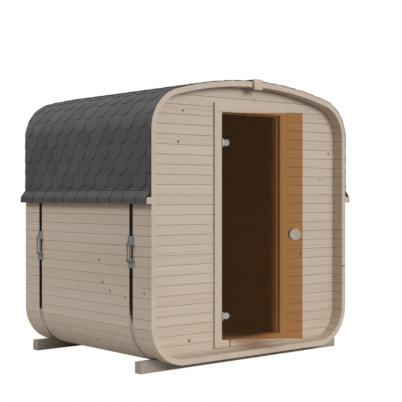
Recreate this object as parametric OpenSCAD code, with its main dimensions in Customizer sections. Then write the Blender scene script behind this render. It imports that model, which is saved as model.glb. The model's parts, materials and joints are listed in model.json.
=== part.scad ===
// Cube sauna: a rounded-square wooden cabin on two cradle skids, held by two steel bands,
// with a tinted glass door in a timber frame and a shingle roof cover.
// The origin is the middle of the front skid's underside. +X right, +Y to the rear, +Z up.

/* [Shell] */
// Outside width of the shell
shell_w = 2185; // [1820:5:2622]
// Length of the shell from front ring to rear ring
shell_l = 1844; // [1537:1:2213]
// Height of the crown above the ground, under the roof cover
crown_h = 2297; // [2217:5:2757]
// Gap between the ground and the shell's underside
ground_gap = 50; // [20:1:70]
// Thickness of the shell boards
board_t = 45; // [30:1:54]
// Outside radius of the two bottom corners
bottom_r = 330; // [200:5:396]
// Outside radius of the two top corners
top_r = 330; // [200:5:396]
// Outside radius of the shallow crown
crown_r = 3280; // [2730:5:3936]

/* [End walls] */
// Depth from a ring face to the end wall behind it
recess = 108; // [60:1:130]
// Thickness of the end wall boards
end_wall_t = 45; // [30:1:54]

/* [Skids] */
// Width of a cradle skid along Y
skid_w = 76; // [50:1:92]
// Height of a cradle skid
skid_h = 89; // [75:1:106]
// Length of a cradle skid along X
skid_l = 2190; // [2000:5:2628]
// Distance from a ring face to the near side of its skid
skid_inset = 130; // [100:1:156]

/* [Door frame] */
// Clear width between the jambs
opening_w = 665; // [554:1:798]
// Clear height between the threshold and the header
opening_h = 1853; // [1544:1:1880]
// Offset of the doorway from the cabin's middle, to the right
door_shift = 26; // [0:1:60]
// Face width of the jambs and the header
jamb_w = 75; // [60:1:90]
// Height of the door frame's foot above the floor boards
frame_lift = 35; // [29:1:42]
// Height of the threshold
threshold_h = 58; // [48:1:70]
// How far the door frame stands in front of the end wall
frame_proud = 20; // [10:1:24]
// Depth of the door frame along Y
frame_depth = 97; // [85:1:116]
// Depth of the rebate that the glass closes into
rebate_d = 36; // [30:1:43]
// Width of the stop that the glass closes against
stop_w = 11; // [6:1:13]

/* [Glass door] */
// Thickness of the glass
glass_t = 8; // [6:1:10]
// Gap between the glass and the hinge jamb, and between the glass and its stop
glass_gap = 5; // [4:0.5:6]
// Gap between the glass and the closing jamb
lock_gap = 7; // [6:0.5:8]
// Gap above and below the glass
glass_end_gap = 6.5; // [5:0.5:8]
// Angle at which the door stands open
door_open = 37; // [0:1:90]

/* [Door hardware] */
// Diameter of the round wooden door knobs
knob_d = 95; // [79:1:114]
// Thickness of a knob
knob_t = 26; // [20:1:31]
// Diameter of the collar that holds a knob off the glass
collar_d = 26; // [22:1:31]
// Length of that collar
collar_l = 14; // [10:1:17]
// Distance from the glass's free edge to the knob's axis
knob_inset = 66; // [60:1:79]
// Height of the knob's axis above the glass's lower edge
knob_z = 852; // [710:1:1022]
// Diameter of the bolts through the glass
bolt_d = 10; // [8:1:12]
// Clearance round a bolt in the glass
bolt_gap = 1; // [0.5:0.1:2]
// Diameter of the hinge clamp disc on the glass
clamp_d = 53; // [44:1:60]
// Thickness of that disc
clamp_t = 6; // [5:0.5:7]
// Distance from the glass's hinge edge to the clamp's axis
clamp_inset = 27; // [27:1:32]
// Height of the lower clamp above the glass's lower edge
clamp_low = 190; // [158:1:228]
// Distance from the glass's upper edge down to the upper clamp
clamp_high = 244; // [203:1:293]
// Diameter of the hinge pin
pin_d = 7; // [5:0.5:8]
// Running clearance round the hinge pin
pin_gap = 0.05; // [0.02:0.01:0.1]
// Outside diameter of the hinge knuckles
knuckle_d = 12; // [11:0.5:12.5]
// Length of the whole hinge knuckle
knuckle_l = 66; // [55:1:79]
// Length of the knuckle part that belongs to the door
barrel_l = 32; // [26:1:38]
// Play between the knuckles along the pin
knuckle_gap = 0.5; // [0.2:0.1:1]
// Distance from the frame's face out to the hinge pin
pin_out = 8; // [7:0.5:9]
// Thickness of the hinge plate on the side of the jamb's rebate
plate_t = 3; // [2:0.5:3]
// Depth of that plate behind the frame's face
plate_d = 17; // [14:1:20]

/* [Bands] */
// Width of a steel band
band_w = 43; // [36:1:52]
// Thickness of a steel band
band_t = 2; // [1:0.1:2.4]
// Distance from a ring face to the middle of its band
band_inset = 257; // [240:1:308]
// Clearance beside and over a band in the pieces that it passes under
band_gap = 2; // [1:0.5:4]
// Width of a band clamp bracket along Y
bracket_w = 72; // [60:1:86]
// Height of a band clamp bracket
bracket_h = 66; // [55:1:79]
// Thickness of the bracket's plates
bracket_t = 4; // [3:0.5:5]
// How far a bracket stands out from the band
bracket_d = 34; // [28:1:40]
// Height of the upper bracket's lower edge above the ground
bracket_z_high = 985; // [930:1:1100]
// Height of the lower bracket's lower edge above the ground
bracket_z_low = 804; // [670:1:840]
// Diameter of the threaded rods
rod_d = 10; // [8:1:12]
// Distance between the two threaded rods
rod_pitch = 44; // [38:1:50]

/* [Roof] */
// Thickness of the shingle roof cover
cover_t = 8; // [5:0.5:10]
// Width of the eave batten along X
batten_w = 45; // [30:1:54]
// Height of the eave batten
batten_h = 50; // [42:1:60]
// Height of the eave batten's underside above the ground
batten_z = 1300; // [1150:5:1500]
// Height over which the cover leaves the wall to pass the batten
flare_h = 55; // [40:1:80]
// Width of the ridge block on each ring face
ridge_w = 96; // [80:1:115]
// Height of the ridge block
ridge_h = 86; // [72:1:103]
// Thickness of the ridge block along Y
ridge_t = 24; // [20:1:29]
// How far the ridge block stands above the shell's crown
ridge_over = 18; // [8:1:22]

/* [Hidden] */

// Divisions of a corner arc and of half the crown
corner_n = 15;
crown_n = 8;
// How far a cutting shape runs past the solid that it cuts
over = 10;

half_w = shell_w / 2;
front_y = -skid_inset - skid_w / 2;
rear_y = front_y + shell_l;
skid_rear_y = rear_y - skid_inset - skid_w / 2;
floor_z = ground_gap + board_t;

// Centres of the section's arcs
bottom_cx = half_w - bottom_r;
bottom_cz = ground_gap + bottom_r;
top_cx = half_w - top_r;
crown_cz = crown_h - crown_r;
top_cz = crown_cz + sqrt(pow(crown_r - top_r, 2) - pow(top_cx, 2));
// Angle from the vertical at which the crown meets a top corner
crown_a = asin(top_cx / (crown_r - top_r));

// Doorway
wall_front_y = front_y + recess;
wall_back_y = wall_front_y + end_wall_t;
frame_y = wall_front_y - frame_proud;
jamb_left_x = door_shift - opening_w / 2;
jamb_right_x = door_shift + opening_w / 2;
frame_z = floor_z + frame_lift;
threshold_z = frame_z + threshold_h;
header_z = threshold_z + opening_h;

// Glass leaf, measured from the hinge pin with the door shut
glass_w = opening_w - glass_gap - lock_gap;
glass_h = opening_h - 2 * glass_end_gap;
pin_side = 3.5;
pin_x = jamb_left_x + pin_side;
pin_y = frame_y - pin_out;
glass_x = glass_gap - pin_side;
glass_y = pin_out + rebate_d - glass_gap - glass_t;
glass_z = threshold_z + glass_end_gap;
clamp_zs = [glass_z + clamp_low, glass_z + glass_h - clamp_high];

band_front_y = front_y + band_inset;
band_rear_y = rear_y - band_inset;

pine = [0.84, 0.78, 0.71];
pine_dark = [0.62, 0.52, 0.40];
shingle = [0.28, 0.28, 0.28];
steel = [0.55, 0.54, 0.52];
tinted = [0.13, 0.06, 0.02, 0.85];

// Points of an arc from angle a0 to a1 in n equal steps
function arc(cx, cz, r, a0, a1, n) =
    [for (i = [0:n]) let (a = a0 + (a1 - a0) * i / n) [cx + r * cos(a), cz + r * sin(a)]];
function reversed(points) = [for (i = [len(points) - 1:-1:0]) points[i]];
function mirrored(points) = [for (p = reversed(points)) [-p[0], p[1]]];

// The right half of the section, at depth d inside the shell's outer face
function low_corner(d) = arc(bottom_cx, bottom_cz, bottom_r - d, -90, 0, corner_n);
function high_corner(d) = arc(top_cx, top_cz, top_r - d, 0, 90 - crown_a, corner_n);
function crown(d) = arc(0, crown_cz, crown_r - d, 90 - crown_a, 90, crown_n);
function right_half(d) = concat(low_corner(d), high_corner(d), crown(d));
function section(d) = concat(right_half(d), mirrored(right_half(d)));

// Extrudes an XZ outline along Y from y to y + length
module along_y(y, length) {
    translate([0, y + length, 0]) rotate([90, 0, 0]) linear_extrude(height = length) children();
}

// Draws its children on the right, or mirrored on the left
module on_side(side) {
    if (side == "left") mirror([1, 0, 0]) children();
    else children();
}

// A strip of the section between two depths, given the outline function's points at both
module strip(outer, inner, y, length) {
    along_y(y, length) polygon(concat(outer, reversed(inner)));
}

// A block with its low corner at from and its high corner at to
module block(from, to) {
    translate(from) cube(to - from);
}

// A round bar from point p along Y
module bar_y(p, d, length) {
    translate(p) rotate([-90, 0, 0]) cylinder(d = d, h = length);
}

module band_loop(y, grow) {
    difference() {
        along_y(y - band_w / 2 - grow, band_w + 2 * grow) polygon(section(-band_t - grow));
        along_y(y - band_w / 2 - over, band_w + 2 * over) polygon(section(0));
    }
}

// Cuts the channels that both bands pass through
module without_bands() {
    difference() {
        children();
        for (y = [band_front_y, band_rear_y])
            band_loop(y, band_gap);
    }
}

module skid(y) {
    color(pine_dark) difference() {
        translate([-skid_l / 2, y - skid_w / 2, 0]) cube([skid_l, skid_w, skid_h]);
        along_y(y - skid_w / 2 - over, skid_w + 2 * over) polygon(section(0));
    }
}

module floor_boards() {
    color(pine) block([-bottom_cx, front_y, ground_gap], [bottom_cx, rear_y, floor_z]);
}

module bottom_corner(side) {
    color(pine) on_side(side) strip(low_corner(0), low_corner(board_t), front_y, shell_l);
}

module side_wall(side) {
    color(pine) on_side(side)
        block([half_w - board_t, front_y, bottom_cz], [half_w, rear_y, top_cz]);
}

module top_corner(side) {
    color(pine) on_side(side) strip(high_corner(0), high_corner(board_t), front_y, shell_l);
}

module roof_boards(side) {
    color(pine) on_side(side) strip(crown(0), crown(board_t), front_y, shell_l);
}

module ridge_block(y) {
    color(pine) translate([-ridge_w / 2, y, crown_h + ridge_over - ridge_h])
        cube([ridge_w, ridge_t, ridge_h]);
}

// The end wall's boards between two X values and two heights
module end_wall(y, from_x, to_x, from_z = 0, to_z = crown_h) {
    color(pine) intersection() {
        along_y(y, end_wall_t) polygon(section(board_t));
        block([from_x, y - over, from_z], [to_x, y + end_wall_t + over, to_z]);
    }
}

module door_jamb(face_x, side) {
    outer = side == "left" ? face_x - jamb_w : face_x;
    stop_from = side == "left" ? face_x : face_x - stop_w;
    color(pine) union() {
        block([outer, frame_y, frame_z], [outer + jamb_w, frame_y + frame_depth, header_z]);
        block([stop_from, frame_y + rebate_d, threshold_z],
            [stop_from + stop_w, frame_y + frame_depth, header_z]);
    }
}

module door_header() {
    color(pine) union() {
        block([jamb_left_x - jamb_w, frame_y, header_z],
            [jamb_right_x + jamb_w, frame_y + frame_depth, header_z + jamb_w]);
        block([jamb_left_x + stop_w, frame_y + rebate_d, header_z - stop_w],
            [jamb_right_x - stop_w, frame_y + frame_depth, header_z]);
    }
}

module door_threshold() {
    color(pine) block([jamb_left_x, frame_y, frame_z],
        [jamb_right_x, frame_y + frame_depth, threshold_z]);
}

module eave_batten(side) {
    color(pine) on_side(side) without_bands()
        block([half_w, front_y, batten_z], [half_w + batten_w, rear_y, batten_z + batten_h]);
}

module cover_crown(side) {
    color(shingle) on_side(side) without_bands()
        strip(crown(-cover_t), crown(0), front_y, shell_l);
}

module cover_corner(side) {
    color(shingle) on_side(side) without_bands()
        strip(high_corner(-cover_t), high_corner(0), front_y, shell_l);
}

// The cover down the wall, then out over the eave batten and down its face
module cover_side(side) {
    flare_z = batten_z + batten_h + flare_h;
    edge_x = half_w + batten_w;
    color(shingle) on_side(side) without_bands() along_y(front_y, shell_l) polygon([
        [half_w, top_cz], [half_w, flare_z], [edge_x, batten_z + batten_h], [edge_x, batten_z],
        [edge_x + cover_t, batten_z], [edge_x + cover_t, batten_z + batten_h + cover_t],
        [half_w + cover_t, flare_z + cover_t], [half_w + cover_t, top_cz]
    ]);
}

module band(y) {
    color(steel) band_loop(y, 0);
}

// Two angle brackets on the band, joined by two threaded rods with a nut at each end
module band_clamp(y, side) {
    face_x = half_w + band_t;
    rod_x = face_x + bracket_d * 0.6;
    nut_h = rod_d * 0.8;
    low_lug_z = bracket_z_low + bracket_h;
    color(steel) on_side(side) union() {
        for (z = [bracket_z_low, bracket_z_high])
            block([face_x, y - bracket_w / 2, z], [face_x + bracket_t, y + bracket_w / 2, z + bracket_h]);
        for (z = [low_lug_z - bracket_t, bracket_z_high])
            block([face_x, y - bracket_w / 2, z], [face_x + bracket_d, y + bracket_w / 2, z + bracket_t]);
        for (rod_y = [y - rod_pitch / 2, y + rod_pitch / 2]) {
            translate([rod_x, rod_y, low_lug_z - bracket_t - 2 * nut_h])
                cylinder(d = rod_d, h = bracket_z_high - low_lug_z + 2 * bracket_t + 4 * nut_h);
            for (z = [low_lug_z - bracket_t - nut_h, bracket_z_high + bracket_t])
                translate([rod_x, rod_y, z]) cylinder(d = rod_d * 1.8, h = nut_h, $fn = 6);
        }
    }
}

// The fixed half of a hinge: a plate on the side of the rebate, two knuckles and the pin
module hinge_leaf(z) {
    end_l = (knuckle_l - barrel_l) / 2 - knuckle_gap;
    color(steel) translate([pin_x, pin_y, z - knuckle_l / 2]) union() {
        block([-pin_side, pin_out, 0], [-pin_side + plate_t, pin_out + plate_d, knuckle_l]);
        for (foot = [0, knuckle_l - end_l]) {
            translate([0, 0, foot]) cylinder(d = knuckle_d, h = end_l);
            block([-pin_side, 0, foot], [-pin_side + plate_t, pin_out, foot + end_l]);
        }
        cylinder(d = pin_d, h = knuckle_l);
    }
}

// Places door pieces, which are drawn from the hinge pin with the door shut
module door_place() {
    translate([pin_x, pin_y, 0]) rotate([0, 0, -door_open]) children();
}

module door_glass() {
    knob_x = glass_x + glass_w - knob_inset;
    color(tinted) door_place() difference() {
        translate([glass_x, glass_y, glass_z]) cube([glass_w, glass_t, glass_h]);
        bar_y([knob_x, glass_y - over, glass_z + knob_z], bolt_d + 2 * bolt_gap, glass_t + 2 * over);
        for (z = clamp_zs)
            bar_y([glass_x + clamp_inset, glass_y - over, z], bolt_d + 2 * bolt_gap, glass_t + 2 * over);
    }
}

// The moving half of a hinge: a barrel on the pin, an arm back to the glass and a bolted disc
module hinge_clamp(z) {
    nut_d = 2.2 * bolt_d;
    nut_t = 4;
    arm_t = 6;
    color(steel) door_place() difference() {
        union() {
            translate([0, 0, z - barrel_l / 2]) cylinder(d = knuckle_d, h = barrel_l);
            block([glass_x, 0, z - barrel_l / 2], [glass_x + arm_t, glass_y, z + barrel_l / 2]);
            bar_y([glass_x + clamp_inset, glass_y - clamp_t, z], clamp_d, clamp_t);
            bar_y([glass_x + clamp_inset, glass_y - clamp_t, z], bolt_d, clamp_t + glass_t + nut_t);
            bar_y([glass_x + clamp_inset, glass_y + glass_t, z], nut_d, nut_t);
        }
        translate([0, 0, z - barrel_l]) cylinder(d = pin_d + 2 * pin_gap, h = 2 * barrel_l);
    }
}

// A round wooden disc on a collar, on the outside face of the glass, with the bolt through it
module door_knob_outer() {
    knob_x = glass_x + glass_w - knob_inset;
    color(pine_dark) door_place() union() {
        bar_y([knob_x, glass_y - collar_l - knob_t, glass_z + knob_z], knob_d, knob_t);
        bar_y([knob_x, glass_y - collar_l, glass_z + knob_z], collar_d, collar_l);
        bar_y([knob_x, glass_y - collar_l, glass_z + knob_z], bolt_d, collar_l + glass_t);
    }
}

module door_knob_inner() {
    knob_x = glass_x + glass_w - knob_inset;
    color(pine_dark) door_place() union() {
        bar_y([knob_x, glass_y + glass_t + collar_l, glass_z + knob_z], knob_d, knob_t);
        bar_y([knob_x, glass_y + glass_t, glass_z + knob_z], collar_d, collar_l);
    }
}

skid(0);  // skid_front
skid(skid_rear_y);  // skid_rear
floor_boards();
bottom_corner("left");  // bottom_corner_left
bottom_corner("right");  // bottom_corner_right
side_wall("left");  // side_wall_left
side_wall("right");  // side_wall_right
top_corner("left");  // top_corner_left
top_corner("right");  // top_corner_right
roof_boards("left");  // roof_boards_left
roof_boards("right");  // roof_boards_right
ridge_block(front_y - ridge_t);  // ridge_block_front
ridge_block(rear_y);  // ridge_block_rear
end_wall(wall_front_y, -half_w, jamb_left_x - jamb_w);  // front_wall_left
end_wall(wall_front_y, jamb_right_x + jamb_w, half_w);  // front_wall_right
end_wall(wall_front_y, jamb_left_x - jamb_w, jamb_right_x + jamb_w, header_z + jamb_w);  // front_wall_over_door
end_wall(wall_front_y, jamb_left_x - jamb_w, jamb_right_x + jamb_w, to_z = frame_z);  // front_wall_under_door
end_wall(rear_y - recess - end_wall_t, -half_w, half_w);  // rear_wall
door_jamb(jamb_left_x, "left");  // door_jamb_left
door_jamb(jamb_right_x, "right");  // door_jamb_right
door_header();
door_threshold();
eave_batten("left");  // eave_batten_left
eave_batten("right");  // eave_batten_right
cover_crown("left");  // cover_crown_left
cover_crown("right");  // cover_crown_right
cover_corner("left");  // cover_corner_left
cover_corner("right");  // cover_corner_right
cover_side("left");  // cover_side_left
cover_side("right");  // cover_side_right
band(band_front_y);  // band_front
band(band_rear_y);  // band_rear
band_clamp(band_front_y, "left");  // band_clamp_front_left
band_clamp(band_front_y, "right");  // band_clamp_front_right
band_clamp(band_rear_y, "left");  // band_clamp_rear_left
band_clamp(band_rear_y, "right");  // band_clamp_rear_right
hinge_leaf(clamp_zs[0]);  // hinge_leaf_lower
hinge_leaf(clamp_zs[1]);  // hinge_leaf_upper
door_glass();
hinge_clamp(clamp_zs[0]);  // hinge_clamp_lower
hinge_clamp(clamp_zs[1]);  // hinge_clamp_upper
door_knob_outer();
door_knob_inner();
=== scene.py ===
"""Looks of a cube sauna: boards, shingles, steel bands, door hardware, glass and a plain studio.

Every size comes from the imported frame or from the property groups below, in metres.
"""

import json

import bmesh
import bpy
import numpy as np
from mathutils import Euler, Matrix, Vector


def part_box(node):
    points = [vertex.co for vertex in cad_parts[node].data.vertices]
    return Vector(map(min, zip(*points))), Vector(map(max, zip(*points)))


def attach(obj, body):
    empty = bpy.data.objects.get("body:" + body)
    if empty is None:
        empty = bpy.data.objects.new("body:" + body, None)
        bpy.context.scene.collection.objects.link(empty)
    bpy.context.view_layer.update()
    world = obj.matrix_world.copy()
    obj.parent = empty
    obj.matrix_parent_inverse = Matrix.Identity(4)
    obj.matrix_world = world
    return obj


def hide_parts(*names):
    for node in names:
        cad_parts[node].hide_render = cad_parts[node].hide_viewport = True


bl_info = {
    "name": "Cube sauna",
    "version": (1, 0, 0),
    "blender": (4, 5, 0),
    "location": "3D View > Sidebar > Sauna",
    "description": "Builds the boards, roof, bands and door of a cube sauna round its frame",
    "category": "Add Mesh",
}

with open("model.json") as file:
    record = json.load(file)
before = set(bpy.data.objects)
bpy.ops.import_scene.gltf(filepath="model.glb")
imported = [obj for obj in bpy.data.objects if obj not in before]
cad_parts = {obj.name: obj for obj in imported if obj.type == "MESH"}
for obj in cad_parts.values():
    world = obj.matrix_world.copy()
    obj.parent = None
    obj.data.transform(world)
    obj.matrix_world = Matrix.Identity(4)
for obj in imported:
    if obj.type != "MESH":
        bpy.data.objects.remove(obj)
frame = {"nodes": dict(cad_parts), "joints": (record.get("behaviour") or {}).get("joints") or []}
NODES = frame["nodes"]


# --- Sizes ---------------------------------------------------------------------------------

class BoardSizes(bpy.types.PropertyGroup):
    """Sizes of the boards and timbers."""

    pitch: bpy.props.FloatProperty(
        name="Stave pitch", description="Width of one shell stave", default=0.0791,
        min=0.05, max=0.15, unit="LENGTH")
    side_joint: bpy.props.FloatProperty(
        name="Side joint height", description="Height of one joint on the side walls",
        default=1.212, unit="LENGTH")
    wall_pitch: bpy.props.FloatProperty(
        name="Wall board pitch", description="Height of one end wall board", default=0.0788,
        min=0.05, max=0.15, unit="LENGTH")
    wall_joint: bpy.props.FloatProperty(
        name="Wall joint height", description="Height of one joint on the end walls",
        default=2.078, unit="LENGTH")
    groove: bpy.props.FloatProperty(
        name="Groove", description="Width of the chamfer along each board's edge",
        default=0.0021, min=0.0, max=0.01, unit="LENGTH")
    groove_depth: bpy.props.FloatProperty(
        name="Groove depth", description="Depth of the chamfer along each board's edge",
        default=0.0040, min=0.0, max=0.01, unit="LENGTH")
    arris: bpy.props.FloatProperty(
        name="Arris", description="Radius of the eased edges of the timbers",
        default=0.0025, min=0.0005, max=0.01, unit="LENGTH")


class RoofSizes(bpy.types.PropertyGroup):
    """Sizes of the shingles."""

    pitch: bpy.props.FloatProperty(
        name="Tab pitch", description="Distance between tabs along the eave", default=0.167,
        min=0.1, max=0.3, unit="LENGTH")
    exposure: bpy.props.FloatProperty(
        name="Exposure", description="Distance from one course to the next", default=0.115,
        min=0.08, max=0.2, unit="LENGTH")
    first_exposure: bpy.props.FloatProperty(
        name="First exposure", description="Height of the lowest course", default=0.132,
        min=0.08, max=0.2, unit="LENGTH")
    slot: bpy.props.FloatProperty(
        name="Slot", description="Gap between two tabs", default=0.008,
        min=0.002, max=0.02, unit="LENGTH")
    first_slot: bpy.props.FloatProperty(
        name="First slot", description="Place of the first slot behind the front ring",
        default=0.138, unit="LENGTH")
    thickness: bpy.props.FloatProperty(
        name="Thickness", description="Thickness of one shingle", default=0.0055,
        min=0.002, max=0.008, unit="LENGTH")
    fall: bpy.props.FloatProperty(
        name="Fall", description="How far a tab drops from its tip to the next course's tips",
        default=0.0040, min=0.002, max=0.006, unit="LENGTH")


class Finishes(bpy.types.PropertyGroup):
    """Colours of the materials."""

    softwood_light: bpy.props.FloatVectorProperty(
        name="Softwood, light", description="Early wood of the boards", subtype="COLOR",
        size=3, min=0, max=1, default=(0.64, 0.555, 0.475))
    softwood_dark: bpy.props.FloatVectorProperty(
        name="Softwood, dark", description="Late wood of the boards", subtype="COLOR",
        size=3, min=0, max=1, default=(0.50, 0.385, 0.285))
    knot: bpy.props.FloatVectorProperty(
        name="Knot", description="Heart of a knot", subtype="COLOR",
        size=3, min=0, max=1, default=(0.10, 0.055, 0.03))
    sawn_light: bpy.props.FloatVectorProperty(
        name="Sawn timber, light", description="Early wood of the skids", subtype="COLOR",
        size=3, min=0, max=1, default=(0.42, 0.375, 0.325))
    sawn_dark: bpy.props.FloatVectorProperty(
        name="Sawn timber, dark", description="Late wood of the skids", subtype="COLOR",
        size=3, min=0, max=1, default=(0.26, 0.215, 0.165))
    granule: bpy.props.FloatVectorProperty(
        name="Granules", description="Stone grit of the shingles", subtype="COLOR",
        size=3, min=0, max=1, default=(0.060, 0.060, 0.062))
    bitumen: bpy.props.FloatVectorProperty(
        name="Bitumen", description="Cut edge of a shingle", subtype="COLOR",
        size=3, min=0, max=1, default=(0.012, 0.011, 0.010))
    steel: bpy.props.FloatVectorProperty(
        name="Steel", description="Bands, clamps and hinges", subtype="COLOR",
        size=3, min=0, max=1, default=(0.56, 0.55, 0.53))
    glass: bpy.props.FloatVectorProperty(
        name="Glass", description="Tint that light takes as it goes through the pane",
        subtype="COLOR", size=3, min=0, max=1, default=(0.63, 0.37, 0.17))


class StudioSizes(bpy.types.PropertyGroup):
    """Camera and light."""

    camera_place: bpy.props.FloatVectorProperty(
        name="Camera", description="Place of the camera", subtype="TRANSLATION",
        unit="LENGTH", default=(-5.588, -6.022, 1.368))
    camera_azimuth: bpy.props.FloatProperty(
        name="Azimuth", description="Turn of the view to the right of +Y", unit="ROTATION",
        default=np.radians(40.41))
    camera_tilt: bpy.props.FloatProperty(
        name="Tilt", description="Tilt of the view above the horizon", unit="ROTATION",
        default=np.radians(-0.36))
    lens: bpy.props.FloatProperty(
        name="Lens", description="Focal length in millimetres", default=87.92, min=20, max=300)
    daylight: bpy.props.FloatProperty(
        name="Daylight", description="Strength of the even studio light", default=0.38,
        min=0, max=5)
    key: bpy.props.FloatProperty(
        name="Key light", description="Strength of the large soft light", default=720.0,
        min=0, max=5000, unit="POWER")
    side: bpy.props.FloatProperty(
        name="Side light", description="Strength of the light over the left eave", default=270.0,
        min=0, max=5000, unit="POWER")


# --- Mesh helpers --------------------------------------------------------------------------

class Stock:
    """Gathers the shapes of one piece, with the grain place and the tone of every point."""

    def __init__(self):
        self.points, self.grain, self.tone = [], [], []
        self.loops, self.sizes, self.slots = [], [], []
        self.count = 0

    def add(self, points, faces, grain=None, tone=0.5, slot=0):
        """Adds (n, 3) points and a list of (k, m) face tables, each table with m-sided faces."""
        points = np.asarray(points, float).reshape(-1, 3)
        self.points.append(points)
        self.grain.append(points if grain is None else np.asarray(grain, float).reshape(-1, 3))
        self.tone.append(np.broadcast_to(np.asarray(tone, float).ravel(), (len(points),))
                         if np.size(tone) in (1, len(points)) else None)
        for table in faces:
            table = np.asarray(table, np.int64)
            self.loops.append((table + self.count).ravel())
            self.sizes.append(np.full(len(table), table.shape[1]))
            self.slots.append(np.full(len(table), slot))
        self.count += len(points)

    def build(self, name, materials, body, replaces=(), slot=None, smooth=40.0):
        """Makes the mesh object, lets it ride on its body and gives it its materials."""
        loops, sizes = np.concatenate(self.loops), np.concatenate(self.sizes)
        mesh = bpy.data.meshes.new(name)
        mesh.vertices.add(self.count)
        mesh.vertices.foreach_set("co", np.concatenate(self.points).ravel())
        mesh.loops.add(len(loops))
        mesh.loops.foreach_set("vertex_index", loops.astype(np.int32))
        mesh.polygons.add(len(sizes))
        mesh.polygons.foreach_set("loop_start", (np.cumsum(sizes) - sizes).astype(np.int32))
        mesh.polygons.foreach_set("material_index", np.concatenate(self.slots).astype(np.int32))
        grain = mesh.attributes.new("grain", "FLOAT_VECTOR", "POINT")
        grain.data.foreach_set("vector", np.concatenate(self.grain).astype(np.float32).ravel())
        tone = mesh.attributes.new("tone", "FLOAT", "POINT")
        tone.data.foreach_set("value", np.concatenate(self.tone).astype(np.float32))
        for material in materials:
            mesh.materials.append(material)
        mesh.update(calc_edges=True)
        mesh.validate()
        face_out(mesh)
        mesh.polygons.foreach_set("use_smooth", np.ones(len(mesh.polygons), bool))
        mesh.set_sharp_from_angle(angle=np.radians(smooth))
        piece = bpy.data.objects.new(name, mesh)
        bpy.context.scene.collection.objects.link(piece)
        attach(piece, body)
        if replaces:
            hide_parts(*replaces)
        return piece


def face_out(mesh):
    """Turns every closed shell's faces outwards."""
    work = bmesh.new()
    work.from_mesh(mesh)
    bmesh.ops.recalc_face_normals(work, faces=work.faces)
    work.to_mesh(mesh)
    work.free()


def sweep_faces(rings, points, closed=False, caps=True):
    """Faces of a closed profile of so many points carried through so many rings."""
    r = np.arange(rings if closed else rings - 1)[:, None]
    p = np.arange(points)[None, :]
    here, along = r * points, ((r + 1) % rings) * points
    quads = np.stack([here + p, here + (p + 1) % points, along + (p + 1) % points, along + p], -1)
    tables = [quads.reshape(-1, 4)]
    if caps and not closed:
        tables += [np.arange(points)[None, ::-1], (rings - 1) * points + np.arange(points)[None, :]]
    return tables


def shrink(outline, by):
    """Moves every side of a closed 2-D outline inwards: each corner slides along its bisector."""
    ahead, behind = np.roll(outline, -1, 0) - outline, outline - np.roll(outline, 1, 0)
    ahead = ahead / np.linalg.norm(ahead, axis=1)[:, None]
    behind = behind / np.linalg.norm(behind, axis=1)[:, None]
    normal_a = np.column_stack([-ahead[:, 1], ahead[:, 0]])
    normal_b = np.column_stack([-behind[:, 1], behind[:, 0]])
    turn = 1 + (normal_a * normal_b).sum(1)
    area = np.sum(outline[:, 0] * np.roll(outline[:, 1], -1) - np.roll(outline[:, 0], -1) * outline[:, 1])
    return outline + np.sign(area) * by * (normal_a + normal_b) / turn[:, None]


def eased(outline, radius, steps=3):
    """Rounds each corner of an outline: a point slides on the quadratic curve
    (1-t)^2 a + 2t(1-t) c + t^2 b from a to b, one radius before and behind corner c."""
    back = np.roll(outline, 1, 0) - outline
    ahead = np.roll(outline, -1, 0) - outline
    a = outline + back / np.linalg.norm(back, axis=1)[:, None] * radius
    b = outline + ahead / np.linalg.norm(ahead, axis=1)[:, None] * radius
    t = np.linspace(0, 1, steps)[None, :, None]
    curve = (1 - t) ** 2 * a[:, None] + 2 * t * (1 - t) * outline[:, None] + t ** 2 * b[:, None]
    return curve.reshape(-1, 2)


def carry(stock, outline, axis, start, end, ease, grain_axis, seed, slot=0):
    """Carries an outline, given in the two other axes in X, Y, Z order, along an axis from
    start to end, with both ends eased. The grain runs along grain_axis."""
    rng = np.random.default_rng(seed)
    tight = shrink(outline, ease)
    stations = [(start, tight), (start + ease, outline), (end - ease, outline), (end, tight)]
    others = [i for i in range(3) if i != axis]
    points = np.zeros((4, len(outline), 3))
    for k, (place, ring) in enumerate(stations):
        points[k, :, axis] = place
        points[k][:, others] = ring
    points = points.reshape(-1, 3)
    grain = points[:, [grain_axis] + [i for i in range(3) if i != grain_axis]]
    grain = grain - grain.mean(0) + [rng.uniform(0, 40), 0, 0]
    grain = grain + [0, rng.uniform(-0.03, 0.03), rng.uniform(0.05, 0.09)]
    stock.add(points, sweep_faces(4, len(outline)), grain, rng.uniform(0, 1), slot)


def timber(stock, low, high, ease, seed, grain_axis=None, slot=0):
    """A sawn timber with eased edges between two corners, with its grain along its length."""
    low, high = np.asarray(low, float), np.asarray(high, float)
    axis = int(np.argmax(high - low))
    a, b = [i for i in range(3) if i != axis]
    outline = np.array([[low[a], low[b]], [high[a], low[b]], [high[a], high[b]], [low[a], high[b]]])
    carry(stock, eased(outline, ease), axis, low[axis], high[axis], ease * 0.6,
          axis if grain_axis is None else grain_axis, seed, slot)


def turned(stock, centre, direction, profile, sides=48, tone=0.5, slot=0):
    """A turned shape: the profile (distance along the axis, radius) goes round the axis.
    A point is centre + t d + r (cos a u + sin a v), with u and v square to the axis d."""
    d = np.asarray(direction, float)
    d = d / np.linalg.norm(d)
    v = np.array([0.0, 0.0, 1.0]) if abs(d[2]) < 0.9 else np.array([0.0, 1.0, 0.0])
    u = np.cross(v, d)
    u = u / np.linalg.norm(u)
    v = np.cross(d, u)
    a = np.linspace(0, 2 * np.pi, sides, endpoint=False)[None, :, None]
    t, r = np.asarray(profile, float).T[:, :, None, None]
    points = np.asarray(centre) + t * d + r * (np.cos(a) * u + np.sin(a) * v)
    stock.add(points, sweep_faces(len(profile), sides), tone=tone, slot=slot)


# --- The cabin's outline -------------------------------------------------------------------

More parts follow.
